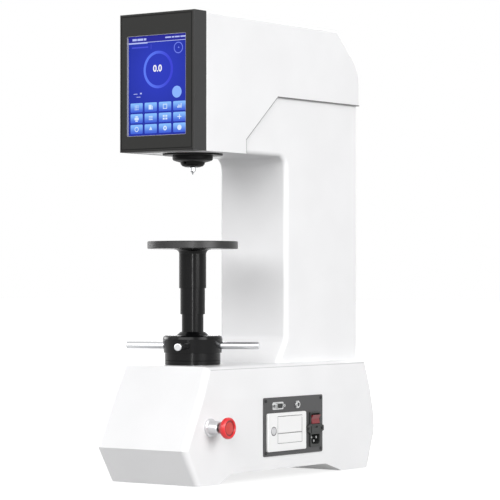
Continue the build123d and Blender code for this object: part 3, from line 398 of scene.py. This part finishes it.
# ---------------------------------------------------------------- display
GLASS_FACE = -93.3
SCREEN_LEFT = -61.0
SCREEN_TOP = 728.5
SCREEN_WIDTH = 122.0
SCREEN_HEIGHT = 164.0
FILM = 0.05                 # thickness of each layer of the picture
GROUND, FIGURE, MARK = 0, 1, 2      # its layers, from the glass outwards
DIAL_U = 0.51               # middle of the dial, from the left of the screen

# Strokes of the picture: place on the screen, then width and height in millimetres.
PALE_STROKES = (
    (0.07, 0.026, 9.0, 3.4), (0.155, 0.026, 12.0, 3.4), (0.265, 0.026, 5.0, 3.4),
    (0.63, 0.026, 12.0, 2.2), (0.74, 0.026, 5.0, 2.2),
    (0.79, 0.026, 10.0, 2.2), (0.885, 0.026, 11.0, 2.2),
    (0.0, 0.064, SCREEN_WIDTH, 0.9), (0.0, 0.069, 40.0, 1.4),
    (0.09, 0.574, 8.0, 1.0), (0.2, 0.566, 3.6, 2.4), (0.14, 0.605, 8.5, 0.9),
)
DIM_STROKES = ((0.06, 0.108, 34.0, 2.2), (0.385, 0.09, 1.0, 7.5))

KEY_WIDTH = 25.4
KEY_HEIGHT = 15.0
KEY_CORNER = 1.6
KEY_COLUMNS = (0.037, 0.279, 0.522, 0.764)
KEY_ROWS = (0.668, 0.776, 0.883)


def glow(name, colour):
    """A part of the lit picture."""
    lit = Finish(name, srgb(4, 4, 8), 0.3, specular_ior_level=0.08)
    lit.put("Emission Color", (*colour, 1.0))
    lit.put("Emission Strength", 1.0)
    return lit


def screen_point(u, v):
    """Millimetres across and up for a place on the screen, from its upper left corner."""
    return SCREEN_LEFT + u * SCREEN_WIDTH, SCREEN_TOP - v * SCREEN_HEIGHT


def tile(shape, u, v, width, height, layer):
    """A flat tile of the picture, given by its upper left corner and its size in millimetres."""
    x, z = screen_point(u, v)
    face = GLASS_FACE - layer * FILM
    return block(shape, (x, face - FILM, z - height), (x + width, face, z))


def round_corners(shape, verts, radius):
    """Rounds the four edges of a tile that run through the picture's depth."""
    edges = {e for vert in verts for e in vert.link_edges}
    deep = [e for e in edges if abs(e.verts[0].co.y - e.verts[1].co.y) > 1e-6]
    bmesh.ops.bevel(
        shape, geom=deep, offset=radius * MM, offset_type="OFFSET", affect="EDGES", segments=4,
        profile=0.5, material=-1,
    )


def disc(shape, u, v, radius, layer, sides=48):
    """A flat disc, or a regular figure of a few sides."""
    x, z = screen_point(u, v)
    face = GLASS_FACE - (layer + 0.5) * FILM
    upright = Matrix.Rotation(math.pi / 2, 4, "X")
    placed = Matrix.Translation(Vector((x, face, z)) * MM) @ upright
    bmesh.ops.create_cone(
        shape, cap_ends=True, segments=sides, radius1=radius * MM, radius2=radius * MM,
        depth=FILM * MM, matrix=placed,
    )


def ring(shape, u, v, radius, width, layer, sides=96):
    """A flat ring of the picture."""
    x, z = screen_point(u, v)
    face = GLASS_FACE - layer * FILM
    section = [
        (x + radius - inset, y, z)
        for inset, y in ((0, face), (0, face - FILM), (width, face - FILM), (width, face))
    ]
    spun_ring(shape, section, (x, face, z), (0, 1, 0), sides)


def keep_lit(name, shape, finish):
    """A part of the picture becomes a piece."""
    keep(name, shape, finish, "frame")


def strokes(name, table, finish):
    """One piece of all the strokes in a table."""
    shape = bmesh.new()
    for u, v, width, height in table:
        tile(shape, u, v, width, height, MARK)
    keep_lit(name, shape, finish)


def screen_ground():
    """The blue ground of the picture, a little lighter round the dial, and its header."""
    ground = glow("screen_blue", srgb(34, 50, 174))
    across, _, up = ground.axes()
    spot_x, spot_z = (level * MM for level in screen_point(0.5, 0.36))
    away = ground.distance(across - spot_x, 0.0, up - spot_z).between(0.01, 0.09)
    ground.put("Emission Color", ground.blend(away, srgb(40, 56, 190), srgb(30, 48, 164)))
    shape = bmesh.new()
    tile(shape, 0, 0, SCREEN_WIDTH, SCREEN_HEIGHT, GROUND)
    keep_lit("screen_ground", shape, ground)
    band = bmesh.new()
    tile(band, 0, 0, SCREEN_WIDTH, 10.5, FIGURE)
    keep_lit("screen_header", band, glow("header_blue", srgb(34, 36, 150)))


def screen_marks():
    """Bare strokes where such a display has its captions, with the line under its header."""
    strokes("screen_marks", PALE_STROKES, glow("screen_pale", srgb(186, 196, 250)))
    strokes("screen_captions", DIM_STROKES, glow("screen_dim", srgb(72, 80, 214)))


def screen_dial():
    """The large ring, brighter on its left."""
    light = glow("dial_blue", srgb(84, 108, 240))
    across, _, _ = light.axes()
    middle = (SCREEN_LEFT + DIAL_U * SCREEN_WIDTH) * MM
    fade = (across - middle).between(-0.03, 0.03)
    light.put("Emission Color", light.blend(fade, srgb(92, 122, 246), srgb(58, 66, 214)))
    shape = bmesh.new()
    ring(shape, DIAL_U, 0.345, 30.5, 4.6, FIGURE)
    keep_lit("screen_dial", shape, light)


def screen_digits():
    """The plain digits in the ring."""
    words = bpy.data.curves.new("screen_digits", "FONT")
    words.body = "0.0"
    words.size = 15.0 * MM
    words.align_x = "CENTER"
    words.align_y = "CENTER"
    words.offset = 0.35 * MM        # makes the strokes bolder
    words.extrude = FILM * MM / 2
    held = bpy.data.objects.new("digits", words)
    bpy.context.scene.collection.objects.link(held)
    bpy.context.view_layer.update()
    flat = bpy.data.meshes.new_from_object(held)
    bpy.data.objects.remove(held)
    digits = bmesh.new()
    digits.from_mesh(flat)
    bpy.data.meshes.remove(flat)
    bmesh.ops.remove_doubles(digits, verts=digits.verts, dist=1e-7)
    x, z = screen_point(0.497, 0.335)
    stand = Matrix.Translation(Vector((x, GLASS_FACE - 1.5 * FILM, z)) * MM)
    upright = Matrix.Rotation(math.pi / 2, 4, "X")
    bmesh.ops.transform(digits, matrix=stand @ upright, verts=digits.verts)
    keep_lit("screen_digits", digits, glow("screen_white", srgb(250, 250, 255)))


def screen_buttons():
    """The round outline at the upper right and the filled disc above the keys."""
    outline = bmesh.new()
    ring(outline, 0.85, 0.142, 9.2, 1.3, FIGURE, 48)
    disc(outline, 0.855, 0.14, 2.0, FIGURE, 3)
    keep_lit("screen_outline_button", outline, glow("outline_blue", srgb(120, 136, 244)))
    filled = bmesh.new()
    disc(filled, 0.825, 0.576, 9.6, FIGURE)
    keep_lit("screen_filled_button", filled, glow("filled_blue", srgb(138, 180, 254)))


def screen_keys():
    """Twelve keys, each bright along its top and darker below."""
    key = glow("key_blue", srgb(90, 150, 248))
    _, _, up = key.axes()
    depth = 0.0
    for v in KEY_ROWS:
        top = SCREEN_TOP - v * SCREEN_HEIGHT
        inside = (up / MM - (top - KEY_HEIGHT)).between(0.0, KEY_HEIGHT)
        above_foot = (up / MM - (top - KEY_HEIGHT - 1.0)).between(0.0, 0.1)
        below_head = (top + 1.0 - up / MM).between(0.0, 0.1)
        depth = inside * (above_foot * below_head) + depth
    key.put("Emission Color", key.blend(depth, srgb(64, 98, 218), srgb(136, 190, 255)))
    shape = bmesh.new()
    for v in KEY_ROWS:
        for u in KEY_COLUMNS:
            corners = tile(shape, u, v, KEY_WIDTH, KEY_HEIGHT, FIGURE)
            round_corners(shape, corners, KEY_CORNER)
    keep_lit("screen_keys", shape, key)


def key_icons():
    """A plain figure on each key: bars, frames, discs, rings, a cross and a triangle.

    The sizes and the offsets from the middle of the key are in millimetres."""
    shape = bmesh.new()

    def bar(u, v, across, down, width, height):
        tile(
            shape, u + (KEY_WIDTH / 2 + across - width / 2) / SCREEN_WIDTH,
            v + (KEY_HEIGHT / 2 + down - height / 2) / SCREEN_HEIGHT, width, height, MARK,
        )

    def spot(u, v, radius, hollow=0.0, sides=32):
        middle_u = u + KEY_WIDTH / 2 / SCREEN_WIDTH
        middle_v = v + KEY_HEIGHT / 2 / SCREEN_HEIGHT
        if hollow:
            ring(shape, middle_u, middle_v, radius, hollow, MARK, sides)
        else:
            disc(shape, middle_u, middle_v, radius, MARK, sides)

    def rows_of_dots(u, v):
        for across in (-3, 0, 3):
            for down in (-3, 0, 3):
                bar(u, v, across, down, 1.6, 1.6)

    def pages(u, v):
        bar(u, v, -1.2, 0, 6.0, 7.6)
        bar(u, v, 3.4, 1.0, 1.4, 6.0)

    def frame_of(u, v):
        for down in (-3.4, 3.4):
            bar(u, v, 0, down, 8.4, 1.1)
        for across in (-3.7, 3.7):
            bar(u, v, across, 0, 1.1, 5.7)

    def columns(u, v):
        for across, tall in ((-3.4, 3.0), (-1.1, 5.2), (1.2, 4.0), (3.5, 7.0)):
            bar(u, v, across, 3.5 - tall / 2, 1.5, tall)

    def printer(u, v):
        bar(u, v, 0, 0.4, 8.6, 4.0)
        bar(u, v, 0, -3.1, 5.0, 2.0)
        bar(u, v, 0, 4.0, 5.0, 2.0)

    def waves(u, v):
        for down in (-2.6, 0, 2.6):
            bar(u, v, 0, down, 8.0, 1.1)

    def grid(u, v):
        for across in (-2.7, 2.7):
            for down in (-2.2, 2.2):
                bar(u, v, across, down, 3.8, 3.0)

    def cross(u, v):
        bar(u, v, 0, 0, 8.0, 1.5)
        bar(u, v, 0, -2.4, 1.5, 3.2)
        bar(u, v, 0, 2.4, 1.5, 3.2)

    figures = (
        rows_of_dots, pages, frame_of, columns,
        printer, waves, grid, cross,
        lambda u, v: spot(u, v, 4.2, 1.2),
        lambda u, v: spot(u, v, 3.8, 0, 3),
        lambda u, v: spot(u, v, 3.8, 2.2),
        lambda u, v: spot(u, v, 4.3),
    )
    places = [(u, v) for v in KEY_ROWS for u in KEY_COLUMNS]
    for figure, (u, v) in zip(figures, places):
        figure(u, v)
    keep_lit("screen_icons", shape, glow("icon_white", srgb(214, 232, 255)))


def window_lining():
    """The pale lining of the window's edge, between the glass and the bezel's face."""
    shape = bmesh.new()
    wall = 0.7
    near, far = -97.1, GLASS_FACE
    left, right = SCREEN_LEFT, SCREEN_LEFT + SCREEN_WIDTH
    low, high = SCREEN_TOP - SCREEN_HEIGHT, SCREEN_TOP
    block(shape, (left, near, low + wall), (left + wall, far, high - wall))
    block(shape, (right - wall, near, low + wall), (right, far, high - wall))
    block(shape, (left, near, low), (right, far, low + wall))
    block(shape, (left, near, high - wall), (right, far, high))
    lining = moulded("window_lining", srgb(150, 150, 160), 0.35)
    keep("window_lining", shape, lining, "frame")


# ---------------------------------------------------------------- fixings and painted shade
def cross_recess_shade():
    """Dark crosses on the screws of the side panel, the inlet and the rear cover: painted shade for
    their cross recesses.
    """
    # painted shade: dark crosses stand in for the shade inside the screws' recesses
    painted_shade = Finish("painted_recess_shade", srgb(24, 24, 25), 0.7)
    shape = bmesh.new()
    arm = 0.28                  # half the width of a recess's arms; reach is half their length
    sunk, proud = 0.3, 0.02     # how far a recess goes into its screw's face and out of it
    side_heads = [(y, z, 95.4, 1.5) for y in (76.7, 237.0) for z in (42.5, 128.9)]
    side_heads += [(y, 77.5, 98.3, 1.4) for y in (196.9, 237.7)]
    for y, z, face, reach in side_heads:
        for half_y, half_z in ((reach, arm), (arm, reach)):
            block(
                shape, (face - sunk, y - half_y, z - half_z),
                (face + proud, y + half_y, z + half_z),
            )
    face, reach = 384.4, 1.5
    for x in (-63.5, 63.5):
        for z in (232.5, 386.0, 539.5):
            for half_x, half_z in ((reach, arm), (arm, reach)):
                block(
                    shape, (x - half_x, face - sunk, z - half_z),
                    (x + half_x, face + proud, z + half_z),
                )
    keep("cross_recess_shade", shape, painted_shade, "frame")


def base_shadow_line():
    """A grey line that runs below the base's upper edge on both sides, painted shade for the shadow
    under that edge.
    """
    # painted shade: a grey strip stands in for the shadow line under the edge
    shadow_line = moulded("painted_shadow_line", srgb(200, 200, 201), 0.6)
    shape = bmesh.new()
    proud, half_width = 0.15, 0.8
    front, back = -66.0, 383.0
    out, up, lean = 87.68, 184.5, -26.9     # middle of the line and its side's lean in degrees
    for side in (-1, 1):
        leaning_block(
            shape, (-proud, front, -half_width), (proud, back, half_width),
            math.radians(lean * side), "Y", (out * side, 0, up),
        )
    keep("base_shadow_line", shape, shadow_line, "frame")


def bezel_groove_shade():
    """A narrow dark strip that runs round the bezel's face, painted shade of a groove, drawn as a
    flat strip.
    """
    # painted shade: a flat dark strip stands in for the shade of a groove
    painted_shade = moulded("bezel_groove_shade", srgb(20, 20, 20), 0.6, specular_ior_level=0.1)
    shape = bmesh.new()
    face, thick, wide, inset = -97.3, 0.06, 1.5, 3.6
    half_bezel, foot, head = 76.8, 539.0, 765.0
    left, right, low, high = -half_bezel + inset, half_bezel - inset, foot + inset, head - inset
    for x in (left, right - wide):
        block(shape, (x, face - thick, low), (x + wide, face, high))
    for z in (low, high - wide):
        block(shape, (left + wide, face - thick, z), (right - wide, face, z + wide))
    keep("bezel_groove_shade", shape, painted_shade, "frame")


def button_surround():
    """A dark ring round the printer's latch button, painted shade for the gap round it."""
    # painted shade: a dark ring stands in for the shadow in the button's gap
    painted_shade = moulded("painted_button_gap_shade", srgb(70, 70, 72), 0.6)
    shape = bmesh.new()
    y, z = 93.8, 78.6
    face, front = 98.2, 98.3
    outer, inner = 7.6, 6.6
    section = [
        (x, y + radius, z)
        for x, radius in ((face, outer), (front, outer), (front, inner), (face, inner))
    ]
    spun_ring(shape, section, (face, y, z), (1, 0, 0), 64)
    keep("button_surround", shape, painted_shade, "frame")


def printer_lines():
    """Dark outlines round the printer's door and round the fixed strip below it, painted shade for
    the gaps round them.

    They lie on the body's face just outside the door, so that they stay put when it opens."""
    # painted shade: dark strips stand in for the shadow in the door's gaps
    painted_shade = moulded("door_gap_shade", srgb(96, 96, 98), 0.6)
    shape = bmesh.new()
    face, thick, wide = 97.4, 0.06, 0.7
    front, back = 106.6, 176.3
    low, slit, high = 57.9, 74.2, 102.3
    for z in (low - wide, slit - wide, high):
        block(shape, (face, front - wide, z), (face + thick, back + wide, z + wide))
    for y in (front - wide, back):
        block(shape, (face, y, low - wide), (face + thick, y + wide, high + wide))
    keep("printer_lines", shape, painted_shade, "frame")


def cover_seam_shade():
    """A grey strip under the head cover's lower edge: painted shade for the shadow of the cover's
    step, seen as a thin line on three sides.
    """
    # painted shade: the strip stands in for the shadow under the cover's step
    seam_shade = rubber("painted_seam_shade", srgb(128, 128, 128))
    shape = bmesh.new()
    thick = 1.5
    inner, outer = 71.0, 76.4
    back, top = 384.0, 639.5
    path = ((45.7, 540.0), (45.7, 563.0), (136.0, top), (back, top))
    for low, high in ((-outer, -inner), (inner, outer)):
        for (y, z), (next_y, next_z) in zip(path, path[1:]):
            length = math.hypot(next_y - y, next_z - z)
            leaning_block(
                shape, (low, 0, -thick), (high, length, 0),
                math.atan2(next_z - z, next_y - y), "X", (0, y, z),
            )
    block(shape, (-outer, back - 3.0, top - thick), (outer, back, top))
    keep("cover_seam_shade", shape, seam_shade, "frame")


# ---------------------------------------------------------------- floor, world, lamps, camera
def studio_floor():
    """A pale floor that takes the machine's shadow and runs out into plain white."""
    shape = bmesh.new()
    bmesh.ops.create_grid(shape, x_segments=1, y_segments=1, size=30.0)
    mesh = bpy.data.meshes.new("floor")
    shape.to_mesh(mesh)
    shape.free()
    pale = Finish("floor_pale", srgb(150, 150, 150), 0.9, specular_ior_level=0.1)
    away = pale.length(pale.place()).between(0.5, 2.2)
    pale.put("Emission Color", pale.blend(away, (0.78, 0.78, 0.78), (1.0, 1.0, 1.0)))
    pale.put("Emission Strength", pale.seen_white())
    mesh.materials.append(pale.material)
    floor = bpy.data.objects.new("floor", mesh)
    bpy.context.scene.collection.objects.link(floor)


def studio_world():
    """White where it is seen, mirrored or seen through, and a gentler fill on the rest."""
    fill, seen_level = 0.09, 1.0
    world = bpy.data.worlds.new("studio")
    bpy.context.scene.world = world
    world.use_nodes = True
    tree = world.node_tree
    ground = tree.nodes["Background"]
    ground.inputs["Color"].default_value = (1.0, 1.0, 1.0, 1.0)
    path = tree.nodes.new("ShaderNodeLightPath")
    level = tree.nodes.new("ShaderNodeMapRange")
    level.inputs["To Min"].default_value = fill
    level.inputs["To Max"].default_value = seen_level
    seen = path.outputs["Is Camera Ray"]
    for ray in SEEN_RAYS:
        either = tree.nodes.new("ShaderNodeMath")
        either.operation = "MAXIMUM"
        tree.links.new(seen, either.inputs[0])
        tree.links.new(path.outputs[ray], either.inputs[1])
        seen = either.outputs[0]
    tree.links.new(seen, level.inputs["Value"])
    tree.links.new(level.outputs[0], ground.inputs["Strength"])


def softbox(name, place, aim, width, height, power):
    """A soft rectangular lamp that faces a point."""
    lamp = bpy.data.lights.new(name, "AREA")
    lamp.shape = "RECTANGLE"
    lamp.size = width
    lamp.size_y = height
    lamp.energy = power
    holder = bpy.data.objects.new(name, lamp)
    bpy.context.scene.collection.objects.link(holder)
    holder.location = place
    holder.rotation_euler = (Vector(aim) - Vector(place)).to_track_quat("-Z", "Y").to_euler()


# Name, place and aim in metres, width and height in metres, power in watts.
SOFTBOXES = (
    ("right", (7.6, -1.2, 2.5), (0, 0.1, 0.35), 4.0, 4.0, 425),
    ("right_high", (5.5, -0.8, 6.0), (0, 0.1, 0.35), 4.0, 3.0, 60),
    ("front", (0.8, -5.9, 2.8), (0, 0.0, 0.3), 7.0, 3.0, 298),
    ("strip", (3.6, -4.9, 0.95), (0, 0.0, 0.3), 0.3, 1.9, 50),
    ("front_left", (-5.0, -5.0, 3.0), (0, 0.1, 0.3), 3.0, 3.0, 25),
    ("far_side", (-7.4, 0.6, 2.6), (0, 0.15, 0.35), 4.0, 3.6, 260),
    ("back", (-2.8, 6.4, 3.2), (0, 0.2, 0.35), 4.0, 4.0, 300),
)


def studio_camera():
    """A long lens that looks a little upward at the front and the right side."""
    turn, rise = 0.63188, 0.0140        # radians
    level = math.cos(rise)
    forward = Vector((-math.sin(turn) * level, math.cos(turn) * level, math.sin(rise)))
    camera = bpy.data.objects.new("camera", bpy.data.cameras.new("camera"))
    bpy.context.scene.collection.objects.link(camera)
    camera.data.sensor_width = 36.0
    camera.data.lens = 166.6
    camera.location = (2.3389, -3.0345, 0.3261)
    camera.rotation_euler = forward.to_track_quat("-Z", "Y").to_euler()
    bpy.context.scene.camera = camera


finish_nodes()
screen_ground()
screen_marks()
screen_dial()
screen_digits()
screen_buttons()
screen_keys()
key_icons()
window_lining()
cross_recess_shade()
base_shadow_line()
bezel_groove_shade()
button_surround()
printer_lines()
cover_seam_shade()
studio_floor()
studio_world()
for box in SOFTBOXES:
    softbox(*box)
studio_camera()
bpy.context.scene.view_settings.view_transform = "Standard"
